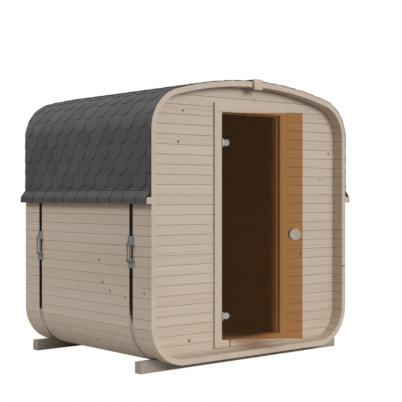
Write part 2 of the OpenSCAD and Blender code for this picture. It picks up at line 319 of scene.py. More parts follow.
class Section:
    """The rounded-square outline of the shell, read from the frame's own corner pieces.

    A walk starts at the middle of the floor, goes round the right side to the crown and on
    down the left side. Its stretches are a flat floor, a quarter circle, a straight side, a
    top arc and the shallow crown, which meets the top arc at angle a from the vertical."""

    def __init__(self):
        wall_low, wall_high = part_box("side_wall_right")
        foot_low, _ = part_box("bottom_corner_right")
        _, bend_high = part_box("top_corner_right")
        _, crown_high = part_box("roof_boards_right")
        self.front, self.rear = wall_low.y, wall_high.y
        self.half = wall_high.x
        self.thick = wall_high.x - wall_low.x
        self.foot = foot_low.z
        self.low_x, self.low_z = foot_low.x, wall_low.z
        self.low_r = self.half - self.low_x
        side, rise = self.half - crown_high.x, bend_high.z - wall_high.z
        self.top_r = (side ** 2 + rise ** 2) / (2 * side)
        self.top_x, self.top_z = self.half - self.top_r, wall_high.z
        self.angle = np.arcsin(1 - side / self.top_r)
        self.crown_r = crown_high.x / np.sin(self.angle)
        self.crown_z = crown_high.z - self.crown_r
        lengths = [self.low_x, self.low_r * np.pi / 2, self.top_z - self.low_z,
                   self.top_r * (np.pi / 2 - self.angle), self.crown_r * self.angle]
        self.stops = np.cumsum(lengths)
        self.length = self.stops[-1]

    def walk(self, s, d=0.0):
        """Points (x, z) and outward normals at distance s round the outline, d outside it."""
        s = np.mod(np.asarray(s, float), 2 * self.length)
        left = s > self.length
        s = np.where(left, 2 * self.length - s, s)
        a0, a1, a2, a3, _ = self.stops
        low, high = (s - a0) / self.low_r, (s - a2) / self.top_r
        top = (self.length - s) / self.crown_r
        zero, one = np.zeros_like(s), np.ones_like(s)
        where = [s < a0, s < a1, s < a2, s < a3]
        nx = np.select(where, [zero, np.sin(low), one, np.cos(high)], np.sin(top))
        nz = np.select(where, [-one, -np.cos(low), zero, np.sin(high)], np.cos(top))
        x = np.select(where, [s, self.low_x + self.low_r * nx, self.half * one,
                              self.top_x + self.top_r * nx], self.crown_r * nx)
        z = np.select(where, [self.foot * one, self.low_z + self.low_r * nz, self.low_z + s - a1,
                              self.top_z + self.top_r * nz], self.crown_z + self.crown_r * nz)
        sign = np.where(left, -1.0, 1.0)
        return sign * (x + d * nx), z + d * nz, sign * nx, nz

    def half_width(self, z, inset):
        """Half the outline's width at height z, at a depth inside it."""
        z = np.asarray(z, float)
        low = self.low_x + np.sqrt(np.maximum((self.low_r - inset) ** 2 - (self.low_z - z) ** 2, 0))
        bend = self.top_x + np.sqrt(np.maximum((self.top_r - inset) ** 2 - (z - self.top_z) ** 2, 0))
        crown = np.sqrt(np.maximum((self.crown_r - inset) ** 2 - (z - self.crown_z) ** 2, 0))
        meet = self.top_z + (self.top_r - inset) * np.cos(self.angle)
        straight = np.full_like(z, self.half - inset)
        return np.select([z < self.low_z, z < self.top_z, z < meet], [low, straight, bend], crown)


class RoofPath:
    """The roof cover's way up: the batten's face, the flare, the wall, the bend and the crown."""

    def __init__(self, section):
        _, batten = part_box("eave_batten_right")
        low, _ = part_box("eave_batten_right")
        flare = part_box("cover_side_right")[0].z + (batten.z - low.z) + 0.055
        rise = np.linspace(section.stops[1] + flare - section.low_z, section.length, 900)
        x, z, _, _ = section.walk(rise)
        corner = np.array([[batten.x, low.z], [batten.x, batten.z], [section.half, flare]])
        steps = np.linspace(0, 1, 60, endpoint=False)[:, None]
        lower = np.concatenate([a + (b - a) * steps for a, b in zip(corner[:-1], corner[1:])])
        raw = np.concatenate([lower, np.column_stack([x, z])])
        p = np.concatenate([[0], np.cumsum(np.linalg.norm(np.diff(raw, axis=0), axis=1))])
        self.length = p[-1]
        self.p = np.linspace(0, self.length, 1500)
        smooth = [self.rounded(np.interp(self.p, p, raw[:, i])) for i in (0, 1)]
        self.x, self.z = smooth
        tx, tz = np.gradient(self.x), np.gradient(self.z)
        size = np.hypot(tx, tz)
        self.nx, self.nz = tz / size, -tx / size

    def rounded(self, values, reach=12):
        """Softens the kinks of the path: each value becomes the mean of its neighbours."""
        ends = np.pad(values, reach, mode="reflect", reflect_type="odd")
        kernel = np.hanning(2 * reach + 3)[1:-1]
        return np.convolve(ends, kernel / kernel.sum(), "valid")

    def at(self, p, lift):
        """Points (x, z) at distance p up the path and a height above it."""
        p = np.clip(p, 0, self.length)
        x, z, nx, nz = (np.interp(p, self.p, v) for v in (self.x, self.z, self.nx, self.nz))
        return x + lift * nx, z + lift * nz


# --- Materials -----------------------------------------------------------------------------

class Graph:
    """Short names for making nodes and joining them."""

    def __init__(self, tree):
        self.tree = tree

    def node(self, kind, **values):
        """Makes a node, sets its fields, and links or sets its inputs given as in_NAME or in_2."""
        made = self.tree.nodes.new(kind)
        for key, value in values.items():
            if not key.startswith("in_"):
                setattr(made, key, value)
        for key, value in values.items():
            if key.startswith("in_"):
                name = key[3:].replace("_", " ")
                socket = made.inputs[int(name)] if name.isdigit() else made.inputs[name]
                if isinstance(value, bpy.types.NodeSocket):
                    self.tree.links.new(value, socket)
                else:
                    socket.default_value = value
        return made

    def math(self, operation, a, b=0.0):
        return self.node("ShaderNodeMath", operation=operation, in_0=a, in_1=b).outputs[0]

    def spread(self, value, low, high, to_low=0.0, to_high=1.0):
        """Maps a value from one span to another, held at both ends."""
        return self.node("ShaderNodeMapRange", in_0=value, in_1=low, in_2=high,
                         in_3=to_low, in_4=to_high).outputs[0]

    def mix(self, factor, a, b, blend="MIX"):
        """Mixes two colours."""
        made = self.node("ShaderNodeMix", data_type="RGBA", blend_type=blend)
        for index, value in ((0, factor), (6, a), (7, b)):
            if isinstance(value, bpy.types.NodeSocket):
                self.tree.links.new(value, made.inputs[index])
            else:
                made.inputs[index].default_value = value
        return made.outputs[2]


def new_group(name, inputs, outputs):
    """An empty node group with named sockets, given as (name, kind, default)."""
    tree = bpy.data.node_groups.new(name, "ShaderNodeTree")
    for socket_name, kind, default in inputs:
        socket = tree.interface.new_socket(name=socket_name, in_out="INPUT", socket_type=kind)
        if default is not None:
            socket.default_value = default
    for socket_name, kind in outputs:
        tree.interface.new_socket(name=socket_name, in_out="OUTPUT", socket_type=kind)
    return tree


def softwood_group():
    """Growth rings, fibres and knots of a softwood board, as values in its own solid space:
    the first axis of Place runs along the grain. Rings are even steps of the distance from
    the pith, bent by a slow noise and pushed aside round each knot."""
    if "Softwood" in bpy.data.node_groups:
        return bpy.data.node_groups["Softwood"]
    tree = new_group("Softwood", [
        ("Place", "NodeSocketVector", None), ("Ring Size", "NodeSocketFloat", 0.0045),
        ("Knot Share", "NodeSocketFloat", 0.1), ("Tone", "NodeSocketFloat", 0.5)],
        [("Rings", "NodeSocketFloat"), ("Fibres", "NodeSocketFloat"),
         ("Knots", "NodeSocketFloat"), ("Shade", "NodeSocketFloat")])
    g = Graph(tree)
    source = g.node("NodeGroupInput").outputs
    place = source["Place"]
    parts = g.node("ShaderNodeSeparateXYZ", in_Vector=place)
    branch = g.node("ShaderNodeCombineXYZ", in_X=g.math("MULTIPLY", parts.outputs[0], 1.25),
                    in_Y=parts.outputs[1], in_Z=g.math("MULTIPLY", parts.outputs[2], 0.12))
    cells = g.node("ShaderNodeTexVoronoi", in_Vector=branch.outputs[0], in_Scale=7.0)
    pick = g.node("ShaderNodeSeparateColor", in_Color=cells.outputs["Color"])
    lucky = g.math("LESS_THAN", pick.outputs[0], source["Knot Share"])
    size = g.spread(pick.outputs[1], 0, 1, 0.035, 0.10)
    knot = g.math("MULTIPLY", g.spread(g.math("SUBTRACT", size, cells.outputs["Distance"]), -0.012, 0.012), lucky)
    push = g.math("MULTIPLY", g.spread(cells.outputs["Distance"], 0.0, 0.28, 1.0, 0.0), lucky)
    stretch = g.node("ShaderNodeCombineXYZ", in_X=g.math("MULTIPLY", parts.outputs[0], 0.7),
                     in_Y=g.math("MULTIPLY", parts.outputs[1], 6.0),
                     in_Z=g.math("MULTIPLY", parts.outputs[2], 6.0))
    slow = g.node("ShaderNodeTexNoise", in_Vector=stretch.outputs[0], in_Scale=1.6, in_Detail=2.0)
    bend = g.math("MULTIPLY", g.math("SUBTRACT", slow.outputs[0], 0.5), 0.045)
    y2 = g.math("POWER", g.math("ADD", parts.outputs[1], bend), 2.0)
    z2 = g.math("POWER", parts.outputs[2], 2.0)
    distance = g.math("SQRT", g.math("ADD", y2, z2))
    distance = g.math("ADD", distance, g.math("MULTIPLY", push, 0.006))
    turns = g.math("DIVIDE", distance, source["Ring Size"])
    saw = g.math("FRACT", turns)
    rings = g.math("POWER", saw, 3.0)
    fine = g.node("ShaderNodeCombineXYZ", in_X=g.math("MULTIPLY", parts.outputs[0], 6.0),
                  in_Y=g.math("MULTIPLY", parts.outputs[1], 420.0),
                  in_Z=g.math("MULTIPLY", parts.outputs[2], 420.0))
    fibre = g.node("ShaderNodeTexNoise", in_Vector=fine.outputs[0], in_Scale=1.0, in_Detail=3.0)
    cloud = g.node("ShaderNodeTexNoise", in_Vector=stretch.outputs[0], in_Scale=3.1, in_Detail=3.0)
    shade = g.math("ADD", g.math("MULTIPLY", source["Tone"], 0.6), g.math("MULTIPLY", cloud.outputs[0], 0.4))
    out = g.node("NodeGroupOutput")
    for name, value in (("Rings", rings), ("Fibres", fibre.outputs[0]), ("Knots", knot), ("Shade", shade)):
        tree.links.new(value, out.inputs[name])
    return tree


def grit_group():
    """Stone granules: cells of random tone, over a slow cloud, with the height of each grain."""
    if "Grit" in bpy.data.node_groups:
        return bpy.data.node_groups["Grit"]
    tree = new_group("Grit", [
        ("Place", "NodeSocketVector", None), ("Grain Size", "NodeSocketFloat", 0.0016),
        ("Tone", "NodeSocketFloat", 0.5)],
        [("Speckle", "NodeSocketFloat"), ("Height", "NodeSocketFloat")])
    g = Graph(tree)
    source = g.node("NodeGroupInput").outputs
    scale = g.math("DIVIDE", 1.0, source["Grain Size"])
    cells = g.node("ShaderNodeTexVoronoi", in_Vector=source["Place"], in_Scale=scale)
    pick = g.node("ShaderNodeSeparateColor", in_Color=cells.outputs["Color"])
    cloud = g.node("ShaderNodeTexNoise", in_Vector=source["Place"], in_Scale=9.0, in_Detail=4.0)
    mixed = g.math("ADD", g.math("MULTIPLY", pick.outputs[0], 0.45), g.math("MULTIPLY", cloud.outputs[0], 0.30))
    speckle = g.math("ADD", mixed, g.math("MULTIPLY", source["Tone"], 0.25))
    out = g.node("NodeGroupOutput")
    tree.links.new(speckle, out.inputs["Speckle"])
    tree.links.new(g.math("SUBTRACT", 1.0, cells.outputs["Distance"]), out.inputs["Height"])
    return tree


def brushed_group():
    """Fine scratches of worked metal: stretched noise as a roughness change and a height."""
    if "Brushed" in bpy.data.node_groups:
        return bpy.data.node_groups["Brushed"]
    tree = new_group("Brushed", [
        ("Place", "NodeSocketVector", None), ("Roughness", "NodeSocketFloat", 0.2),
        ("Spread", "NodeSocketFloat", 0.1)],
        [("Roughness", "NodeSocketFloat"), ("Height", "NodeSocketFloat"), ("Stain", "NodeSocketFloat")])
    g = Graph(tree)
    source = g.node("NodeGroupInput").outputs
    parts = g.node("ShaderNodeSeparateXYZ", in_Vector=source["Place"])
    flat = g.node("ShaderNodeCombineXYZ", in_X=g.math("MULTIPLY", parts.outputs[0], 900.0),
                  in_Y=g.math("MULTIPLY", parts.outputs[1], 900.0),
                  in_Z=g.math("MULTIPLY", parts.outputs[2], 12.0))
    lines = g.node("ShaderNodeTexNoise", in_Vector=flat.outputs[0], in_Scale=1.0, in_Detail=2.0)
    blot = g.node("ShaderNodeTexNoise", in_Vector=source["Place"], in_Scale=14.0, in_Detail=4.0)
    rough = g.math("ADD", source["Roughness"], g.math("MULTIPLY", g.math(
        "SUBTRACT", blot.outputs[0], 0.5), source["Spread"]))
    out = g.node("NodeGroupOutput")
    tree.links.new(rough, out.inputs["Roughness"])
    tree.links.new(lines.outputs[0], out.inputs["Height"])
    tree.links.new(g.spread(blot.outputs[0], 0.35, 0.7), out.inputs["Stain"])
    return tree


def blank(name):
    """A material with only a Principled BSDF and its output."""
    material = bpy.data.materials.new("finish_" + name)
    material.use_nodes = True
    g = Graph(material.node_tree)
    shader = material.node_tree.nodes["Principled BSDF"]
    return material, g, shader


def use_group(g, group, **values):
    """Places a node group and fills its inputs."""
    made = g.node("ShaderNodeGroup", node_tree=group)
    for name, value in values.items():
        socket = made.inputs[name.replace("_", " ")]
        if isinstance(value, bpy.types.NodeSocket):
            g.tree.links.new(value, socket)
        else:
            socket.default_value = value
    return made.outputs


def own_place(g):
    """The piece's own grain place and tone, as written on its points."""
    place = g.node("ShaderNodeAttribute", attribute_name="grain").outputs["Vector"]
    tone = g.node("ShaderNodeAttribute", attribute_name="tone").outputs["Fac"]
    return place, tone


def rgba(colour):
    return (*colour, 1.0)


def wood(name, light, dark, knots=0.50, ring=0.0045, rough=0.62):
    """Planed or sawn softwood: rings, fibres, knots and a tone of its own for each board."""
    finish = bpy.context.scene.sauna_finishes
    material, g, shader = blank(name)
    place, tone = own_place(g)
    grain = use_group(g, softwood_group(), Place=place, Tone=tone, Knot_Share=knots, Ring_Size=ring)
    streak = g.math("ADD", g.math("MULTIPLY", grain["Rings"], 0.55), g.math("MULTIPLY", grain["Fibres"], 0.35))
    base = g.mix(streak, rgba(light), rgba(dark))
    shaded = g.mix(g.spread(grain["Shade"], 0.2, 0.8, 0.0, 0.22), base, rgba(dark))
    knotted = g.mix(g.math("MULTIPLY", grain["Knots"], 0.85), shaded, rgba(finish.knot))
    g.tree.links.new(knotted, shader.inputs["Base Color"])
    g.tree.links.new(g.spread(grain["Fibres"], 0, 1, rough - 0.08, rough + 0.12), shader.inputs["Roughness"])
    shader.inputs["Specular IOR Level"].default_value = 0.3
    bump = g.node("ShaderNodeBump", in_Strength=0.25, in_Distance=0.0006, in_Height=streak)
    g.tree.links.new(bump.outputs[0], shader.inputs["Normal"])
    return material


def shingle_material():
    """Slate-grey granules pressed into bitumen."""
    finish = bpy.context.scene.sauna_finishes
    material, g, shader = blank("shingle_grit")
    place, tone = own_place(g)
    grit = use_group(g, grit_group(), Place=place, Tone=tone)
    light = tuple(min(1.0, 1.75 * c) for c in finish.granule)
    dark = tuple(0.45 * c for c in finish.granule)
    g.tree.links.new(g.mix(grit["Speckle"], rgba(dark), rgba(light)), shader.inputs["Base Color"])
    shader.inputs["Roughness"].default_value = 0.68
    shader.inputs["Specular IOR Level"].default_value = 0.55
    bump = g.node("ShaderNodeBump", in_Strength=0.5, in_Distance=0.0006, in_Height=grit["Height"])
    g.tree.links.new(bump.outputs[0], shader.inputs["Normal"])
    return material


def bitumen_material():
    """Black cut edge and underside of a shingle."""
    finish = bpy.context.scene.sauna_finishes
    material, g, shader = blank("bitumen")
    place, tone = own_place(g)
    grit = use_group(g, grit_group(), Place=place, Tone=tone, Grain_Size=0.004)
    light = tuple(1.8 * c for c in finish.bitumen)
    g.tree.links.new(g.mix(grit["Speckle"], rgba(finish.bitumen), rgba(light)), shader.inputs["Base Color"])
    shader.inputs["Roughness"].default_value = 0.8
    return material


def metal(name, colour, rough, spread=0.08, bump=0.15, metallic=1.0):
    """Steel with fine lines and faint blotches in its gloss. A zinc-grey bloom on worked
    steel is the share of it that isn't metallic."""
    material, g, shader = blank(name)
    place = g.node("ShaderNodeTexCoord").outputs["Object"]
    lines = use_group(g, brushed_group(), Place=place, Roughness=rough, Spread=spread)
    dull = tuple(0.8 * c for c in colour)
    g.tree.links.new(g.mix(lines["Stain"], rgba(colour), rgba(dull)), shader.inputs["Base Color"])
    g.tree.links.new(lines["Roughness"], shader.inputs["Roughness"])
    shader.inputs["Metallic"].default_value = metallic
    relief = g.node("ShaderNodeBump", in_Strength=bump, in_Distance=0.0002, in_Height=lines["Height"])
    g.tree.links.new(relief.outputs[0], shader.inputs["Normal"])
    return material


def glass_material():
    """Bronze-tinted clear glass with the faintest unevenness."""
    finish = bpy.context.scene.sauna_finishes
    material, g, shader = blank("tinted_glass")
    shader.inputs["Base Color"].default_value = rgba(finish.glass)
    shader.inputs["Roughness"].default_value = 0.0
    shader.inputs["IOR"].default_value = 1.45
    shader.inputs["Metallic"].default_value = 0.0
    shader.inputs["Transmission Weight"].default_value = 1.0
    place = g.node("ShaderNodeTexCoord").outputs["Object"]
    ripple = g.node("ShaderNodeTexNoise", in_Vector=place, in_Scale=2.5, in_Detail=1.0)
    relief = g.node("ShaderNodeBump", in_Strength=0.02, in_Distance=0.001, in_Height=ripple.outputs[0])
    g.tree.links.new(relief.outputs[0], shader.inputs["Normal"])
    clear = g.node("ShaderNodeBsdfTransparent", in_Color=rgba(0.45 * np.sqrt(finish.glass)))
    path = g.node("ShaderNodeLightPath")
    both = g.node("ShaderNodeMixShader", in_0=path.outputs["Is Shadow Ray"],
                  in_1=shader.outputs[0], in_2=clear.outputs[0])
    g.tree.links.new(both.outputs[0], g.tree.nodes["Material Output"].inputs["Surface"])
    return material


def material_named(name):
    """The material of that name, made the first time it is asked for."""
    finish = bpy.context.scene.sauna_finishes
    makers = {
        "softwood": lambda: wood("softwood", finish.softwood_light, finish.softwood_dark),
        "sawn_timber": lambda: wood("sawn_timber", finish.sawn_light, finish.sawn_dark, 0.06, 0.006, 0.8),
        "knob_wood": lambda: wood("knob_wood", finish.softwood_light, finish.sawn_dark, 0.0, 0.003, 0.5),
        "shingle_grit": shingle_material,
        "bitumen": bitumen_material,
        # The bands take a darker copy of the steel colour, 0.85 times: painted shade for the dark surroundings
        # that polished bands reflect.
        "band_steel_painted_dark": lambda: metal("band_steel_painted_dark", tuple(0.85 * c for c in finish.steel), 0.10, 0.05, 0.05),
        "clamp_steel": lambda: metal("clamp_steel", finish.steel, 0.28, metallic=0.5),
        # The hinges take a lighter copy of the steel colour, 1.2 times: painted light, so they read pale where
        # the world shows glossy rays a dark horizon.
        "hinge_metal": lambda: metal("hinge_metal", tuple(1.2 * c for c in finish.steel), 0.35, metallic=0.4),
        "tinted_glass": glass_material,
    }
    return bpy.data.materials.get("finish_" + name) or makers[name]()


def dress(node, material):
    """Gives a frame node its finished material."""
    mesh = NODES[node].data
    mesh.materials.clear()
    mesh.materials.append(material_named(material))


# --- Pieces --------------------------------------------------------------------------------

def stave(stock, section, s0, s1, groove, deep, rng):
    """One shell board from distance s0 to s1 round the outline, with chamfered long edges.
    Its profile lies in (distance round, depth), so it bends with the outline."""
    steps = np.linspace(s0 + groove, s1 - groove, 6)
    gap = 0.0003
    outer = [(s0 + gap, -deep), *[(s, 0.0) for s in steps], (s1 - gap, -deep)]
    inner = [(s1 - gap, deep - section.thick), *[(s, -section.thick) for s in steps[::-1]],
             (s0 + gap, deep - section.thick)]
    profile = np.array(outer + inner)
    middle = np.array([(s0 + s1) / 2, -section.thick / 2])
    ease = 0.0012
    tight = profile - [0.0, ease] * np.sign(profile - middle)
    stations = [(section.front, tight), (section.front + ease, profile),
                (section.rear - ease, profile), (section.rear, tight)]
    points, grain = [], []
    for y, ring in stations:
        x, z, _, _ = section.walk(ring[:, 0], ring[:, 1])
        points.append(np.column_stack([x, np.full(len(x), y), z]))
        grain.append(np.column_stack([np.full(len(x), y), ring[:, 0] - middle[0], ring[:, 1]]))
    offset = [rng.uniform(0, 40), rng.uniform(-0.04, 0.04), rng.uniform(0.05, 0.10)]
    stock.add(np.concatenate(points), sweep_faces(4, len(profile)),
              np.concatenate(grain) + offset, rng.uniform(0, 1))


class Step:
    """What every building step of the panel shares."""

    bl_options = {"REGISTER", "UNDO"}


class SAUNA_OT_shell(Step, bpy.types.Operator):
    """Lays the staves of the floor, the sides and the crown round the cabin."""

    bl_idname = "sauna.shell"
    bl_label = "Shell boards"

    def execute(self, context):
        sizes = context.scene.sauna_boards
        section = Section()
        known = section.stops[1] + sizes.side_joint - section.low_z
        joints = np.arange(known % sizes.pitch, section.length, sizes.pitch)
        joints = np.concatenate([joints, 2 * section.length - joints[::-1]])
        edges = np.concatenate([joints, [joints[0] + 2 * section.length]])
        low, high = section.stops[0], section.stops[3]
        groups = {
            "floor_staves": (["floor_boards"], lambda s: s < low or s > 2 * section.length - low),
            "right_staves": (["bottom_corner_right", "side_wall_right", "top_corner_right"],
                             lambda s: low <= s < high),
            "crown_staves": (["roof_boards_right", "roof_boards_left"],
                             lambda s: high <= s <= 2 * section.length - high),
            "left_staves": (["bottom_corner_left", "side_wall_left", "top_corner_left"],
                            lambda s: 2 * section.length - high < s <= 2 * section.length - low),
        }
        rng = np.random.default_rng(7)
        stocks = {name: Stock() for name in groups}
        for s0, s1 in zip(edges[:-1], edges[1:]):
            middle = (s0 + s1) / 2 % (2 * section.length)
            name = next(n for n, (_, holds) in groups.items() if holds(middle))
            stave(stocks[name], section, s0, s1, sizes.groove, sizes.groove_depth, rng)
        for name, (nodes, _) in groups.items():
            stocks[name].build(name, [material_named("softwood")], "cabin", nodes, "pine")
        return {"FINISHED"}


def wall_board(stock, span, z0, z1, cuts, y0, y1, groove, deep, rng_state):
    """A horizontal end wall board from z0 to z1. span(z) gives its two ends at a height, so
    the ends follow the shell. cuts says whether its lower and upper edges are chamfered."""
    low, high = (groove if cut else 0.0 for cut in cuts)
    low_y, high_y = (deep if cut else 0.0 for cut in cuts)
    steps = np.linspace(z0 + low, z1 - high, 7)
    front = [(y0 + low_y, z0 + 0.0003), *[(y0, z) for z in steps], (y0 + high_y, z1 - 0.0003)]
    back = [(y1 - high_y, z1 - 0.0003), *[(y1, z) for z in steps[::-1]], (y1 - low_y, z0 + 0.0003)]
    profile = np.array(front + back)
    left, right = span(profile[:, 1])
    shift, lift, depth, tone, base = rng_state
    rings = np.stack([left, left * 0.5 + right * 0.5, right])
    points = np.zeros((3, len(profile), 3))
    points[:, :, 0] = rings
    points[:, :, 1:] = profile
    grain = np.stack([points[..., 0] + shift, points[..., 2] - base + lift,
                      points[..., 1] - y0 + depth], -1)
    stock.add(points, sweep_faces(3, len(profile)), grain, tone)


class SAUNA_OT_end_walls(Step, bpy.types.Operator):
    """Lays the horizontal boards of the front and rear walls."""

    bl_idname = "sauna.end_walls"
    bl_label = "End walls"

    def execute(self, context):
        sizes = context.scene.sauna_boards
        section = Section()
        header, jamb_l, jamb_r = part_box("door_header"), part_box("door_jamb_left"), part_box("door_jamb_right")
        door = (jamb_l[0].x, jamb_r[1].x, jamb_l[0].z, header[1].z)
        floor = section.foot + section.thick
        top = section.crown_z + section.crown_r - section.thick
        first = sizes.wall_joint - sizes.wall_pitch * np.floor((sizes.wall_joint - floor) / sizes.wall_pitch)
        joints = np.concatenate([[floor], np.arange(first, top - 0.02, sizes.wall_pitch), [top - 0.0005]])
        rng = np.random.default_rng(11)
        for name, nodes, hole in (
                ("front_wall_boards", ["front_wall_left", "front_wall_right", "front_wall_over_door",
                                       "front_wall_under_door"], door),
                ("rear_wall_boards", ["rear_wall"], None)):
            low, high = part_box(nodes[0])
            stock = Stock()
            for z0, z1 in zip(joints[:-1], joints[1:]):
                state = (rng.uniform(0, 40), rng.uniform(-0.04, 0.04), rng.uniform(0.05, 0.1),
                         rng.uniform(0, 1), (z0 + z1) / 2)
                self.lay(stock, section, z0, z1, low.y, high.y, sizes, state, hole)
            stock.build(name, [material_named("softwood")], "cabin", nodes, "pine")
        return {"FINISHED"}

    def lay(self, stock, section, z0, z1, y0, y1, sizes, state, hole):
        """Lays one board, cut where it meets the door frame."""
        whole = lambda z: (-section.half_width(z, section.thick), section.half_width(z, section.thick))
        levels = [z0, z1]
        if hole:
            levels = [z0, *[z for z in hole[2:] if z0 < z < z1], z1]
        for a, b in zip(levels[:-1], levels[1:]):
            cuts = (a == z0, b == z1)
            if hole and hole[2] <= (a + b) / 2 <= hole[3]:
                spans = [lambda z: (whole(z)[0], np.full_like(z, hole[0])),
                         lambda z: (np.full_like(z, hole[1]), whole(z)[1])]
            else:
                spans = [whole]
            for span in spans:
                wall_board(stock, span, a, b, cuts, y0, y1, sizes.groove, sizes.groove_depth, state)


class SAUNA_OT_door_frame(Step, bpy.types.Operator):
    """Makes the jambs, the header and the threshold, with their stops and eased edges."""

    bl_idname = "sauna.door_frame"
    bl_label = "Door frame"

    def execute(self, context):
        ease = context.scene.sauna_boards.arris
        sill_low, sill_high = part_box("door_threshold")
        stop_y = self.stop_front()
        for seed, (node, inner) in enumerate((("door_jamb_left", 1), ("door_jamb_right", 0))):
            low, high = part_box(node)
            face = sill_low.x if inner else sill_high.x
            stock = Stock()
            outer_low = (low.x, low.y, low.z) if inner else (face, low.y, low.z)
            outer_high = (face, high.y, high.z) if inner else (high.x, high.y, high.z)
            timber(stock, outer_low, outer_high, ease, 20 + seed)
            stop = sorted((face, high.x if inner else low.x))
            timber(stock, (stop[0], stop_y, sill_high.z), (stop[1], high.y, high.z), ease, 24 + seed)
            stock.build(node + "_timber", [material_named("softwood")], "cabin", [node], "pine")
        low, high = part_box("door_header")
        jamb_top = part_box("door_jamb_left")[1].z
        stop_l, stop_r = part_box("door_jamb_left")[1].x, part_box("door_jamb_right")[0].x
        stock = Stock()
        timber(stock, (low.x, low.y, jamb_top), (high.x, high.y, high.z), ease, 28)
        timber(stock, (stop_l, stop_y, low.z), (stop_r, high.y, jamb_top), ease, 29)
        stock.build("door_header_timber", [material_named("softwood")], "cabin", ["door_header"], "pine")
        stock = Stock()
        timber(stock, sill_low, sill_high, ease, 30)
        stock.build("door_threshold_timber", [material_named("softwood")], "cabin", ["door_threshold"], "pine")
        return {"FINISHED"}

    def stop_front(self):
        """The plane of the stops: the first face of a jamb behind its front one."""
        mesh = NODES["door_jamb_left"].data
        places = np.zeros(len(mesh.vertices) * 3)
        mesh.vertices.foreach_get("co", places)
        depths = np.unique(np.round(places.reshape(-1, 3)[:, 1], 4))
        return depths[1]


class SAUNA_OT_skids(Step, bpy.types.Operator):
    """Saws the two cradle skids, each with a saddle that fits the shell."""

    bl_idname = "sauna.skids"
    bl_label = "Skids"

    def execute(self, context):
        section = Section()
        ease = context.scene.sauna_boards.arris
        for seed, node in enumerate(("skid_front", "skid_rear")):
            low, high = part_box(node)
            edge = section.half_width(np.array([high.z]), 0.0)[0]
            turn = np.arccos((section.low_z - high.z) / section.low_r)
            arc = np.linspace(section.stops[0] + section.low_r * turn, section.stops[0], 14)
            x, z, _, _ = section.walk(arc)
            right = np.column_stack([x, z])
            left = np.column_stack([-x, z])[::-1]
            outline = np.concatenate([
                [[low.x, low.z], [high.x, low.z], [high.x, high.z], [edge + 0.0005, high.z]],
                right[1:], left[:-1], [[-edge - 0.0005, high.z], [low.x, high.z]]])
            stock = Stock()
            carry(stock, outline, 1, low.y, high.y, ease * 0.4, 0, 40 + seed)
            stock.build(node + "_timber", [material_named("sawn_timber")], "cabin", [node], "skid_timber")
        return {"FINISHED"}


class SAUNA_OT_eaves(Step, bpy.types.Operator):
    """Makes the eave battens and the ridge blocks."""

    bl_idname = "sauna.eaves"
    bl_label = "Eave battens and ridge blocks"

    def execute(self, context):
        ease = context.scene.sauna_boards.arris
        for seed, node in enumerate(("eave_batten_left", "eave_batten_right")):
            low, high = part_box(node)
            stock = Stock()
            timber(stock, low, high, ease, 50 + seed)
            stock.build(node + "_timber", [material_named("softwood")], "cabin", [node], "pine")
        for seed, node in enumerate(("ridge_block_front", "ridge_block_rear")):
            low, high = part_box(node)
            stock = Stock()
            timber(stock, low, high, ease * 1.6, 54 + seed, grain_axis=2)
            stock.build(node + "_timber", [material_named("softwood")], "cabin", [node], "pine")
        return {"FINISHED"}


def tab_faces(across, up):
    """Faces of a thin slab made of a top grid and an underside grid: top, then rim and under."""
    i, j = np.meshgrid(np.arange(across - 1), np.arange(up - 1), indexing="ij")
    corner = (i * up + j).ravel()
    top = np.stack([corner, corner + up, corner + up + 1, corner + 1], -1)
    under = top[:, ::-1] + across * up
    a, u = np.arange(across), np.arange(up)
    ring = np.concatenate([a * up, (across - 1) * up + u[1:], (a[:-1] * up + up - 1)[::-1], u[1:-1][::-1]])
    ahead = np.roll(ring, -1)
    rim = np.stack([ring, ahead, ahead + across * up, ring + across * up], -1)
    return top, np.concatenate([rim, under])


